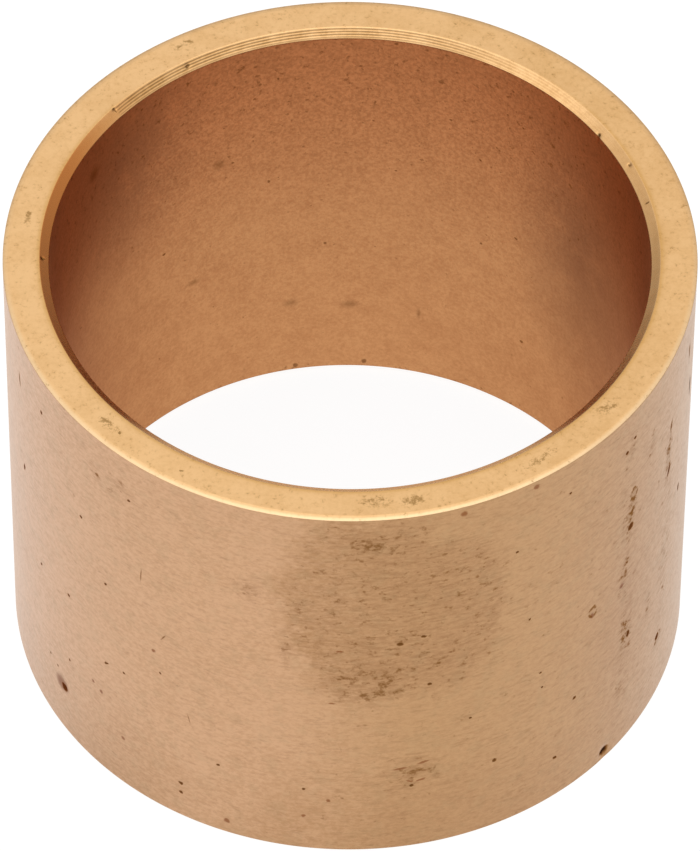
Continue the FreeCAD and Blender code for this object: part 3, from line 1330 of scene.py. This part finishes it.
BORE_MARKS = (
    *spots(Kind.PIT, 0.13,
           (185.0, 14.0), (153.0, 16.5), (-113.0, 18.8), (-140.0, 18.0), (160.0, 28.5), (171.0, 22.0)),
    *spots(Kind.PIT, 0.15,
           (-156.0, 24.4), (-163.5, 21.4), (-165.6, 32.0), (153.6, 25.3), (144.0, 30.6), (145.0, 18.7)),
    *spots(Kind.PIT, 0.16,
           (-135.0, 34.5), (-60.0, 12.0), (-25.0, 27.0), (18.0, 9.0), (47.0, 23.0), (75.0, 15.0)),
    *marks(Kind.PIT,
           (-169.0, 0.9, 0.28, 0.24), (177.0, 1.0, 0.28, 0.24), (143.0, 8.0, 0.2, 0.2)),
    *marks(Kind.SMUDGE,
           (-168.0, 7.9, 0.6, 0.8), (-147.0, 13.3, 0.4, 0.8), (180.0, 7.3, 0.6, 1.0),
           (166.0, 7.0, 0.9, 0.25), (5.0, 18.0, 0.9, 1.2), (-153.0, 24.7, 0.8, 0.8),
           (-120.0, 32.5, 1.1, 1.1)),
)

# Painted shade on the bore's left and right sides.
BORE_SHADE_BANDS = (
    *marks(Kind.SMUDGE,
           (-128.5, 30.5, 13.5, 8.5), (128.0, 22.0, 17.0, 7.0)),
)


def knocks(sizes: SleeveSizes) -> tuple[Dent, ...]:
    """The places where handling moved metal: one on the foot, five on the upper lead, one on the rim."""
    top, face, bore = sizes.length, sizes.face_inner, sizes.bore_radius
    return (
        Dent(49.6, sizes.outer_radius, 0.75, 0.42, 0.22, (-1.0, 0.2)),
        Dent(-129.0, face - 0.1, top - 0.1, 0.16, 0.09, (0.7, -0.7)),
        Dent(-147.0, face - 0.3, top - 0.2, 0.18, 0.08, (0.7, -0.7)),
        Dent(123.9, bore, top - sizes.lead_depth, 0.18, 0.08, (0.8, -0.6)),
        Dent(113.9, face - 0.2, top - 0.2, 0.15, 0.06, (0.7, -0.7)),
        Dent(-88.7, face - 0.2, top - 0.2, 0.15, 0.06, (0.7, -0.7)),
        Dent(18.9, sizes.outer_radius, top - 0.4, 0.25, 0.05, (-1.0, 0.0)),
    )


def finishes(sizes: SleeveSizes) -> tuple[Finish, ...]:
    """The four finishes, in the order of Zone."""
    outside = OutsideFinish(
        name="polished_outside",
        circle=sizes.outer_radius,
        bright=(0.625, 0.358, 0.190),
        dull=(0.440, 0.225, 0.088),
        roughness=0.38,
        film=0.45,
        marks=OUTSIDE_MARKS,
        patches=OUTSIDE_PATCHES,
        streaks=OUTSIDE_STREAKS,
        bands=OUTSIDE_BANDS,
    )
    face = FacedEndFinish(
        name="faced_end",
        circle=sizes.outer_radius,
        bored=sizes.face_inner,
        bright=(0.830, 0.515, 0.240),
        dull=(0.690, 0.400, 0.160),
        dark=(0.250, 0.135, 0.035),
        roughness=0.34,
        film=0.15,
        marks=FACE_MARKS,
    )
    lead = LeadFinish(
        name="bored_lead",
        circle=sizes.outer_radius,
        front=BACK,
        bright=(0.850, 0.530, 0.255),
        dull=(0.600, 0.320, 0.110),
        dark=(0.180, 0.085, 0.025),
        roughness=0.26,
        film=0.08,
        marks=LEAD_MARKS,
    )
    bore = BoreFinish(
        name="reamed_bore",
        circle=sizes.bore_radius,
        front=BACK,
        bright=(0.620, 0.302, 0.126),
        dull=(0.450, 0.190, 0.072),
        dark=(0.120, 0.045, 0.015),
        edge_tint=(0.32, 0.25, 0.34),
        roughness=0.42,
        film=0.08,
        marks=BORE_MARKS,
        bands=BORE_SHADE_BANDS,
    )
    return outside, face, lead, bore


def main() -> None:
    """Builds the sleeve, dresses it and lights it."""
    logging.basicConfig(level=logging.INFO, format="%(name)s: %(message)s")
    sizes = SleeveSizes.from_node(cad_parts["sleeve"])
    log.info("sizes read from the frame: %s", sizes)
    sleeve = BronzeSleeve(sizes=sizes, dents=knocks(sizes))
    piece = sleeve.build()
    sleeve.dress(piece, finishes(sizes))
    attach(piece, "root")
    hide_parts("sleeve")
    log.info("bronze_sleeve dressed in %d finishes", len(piece.data.materials))
    Studio(
        aim=Vector((0.0, 0.0, sizes.length / 2.0 * MM)),
        softboxes=(
            Softbox("left_box", turn=-70.0, elevation=40.0, distance=1.2, side=0.8, power=0.8),
        ),
    ).build()


if __name__ == "__main__":
    main()
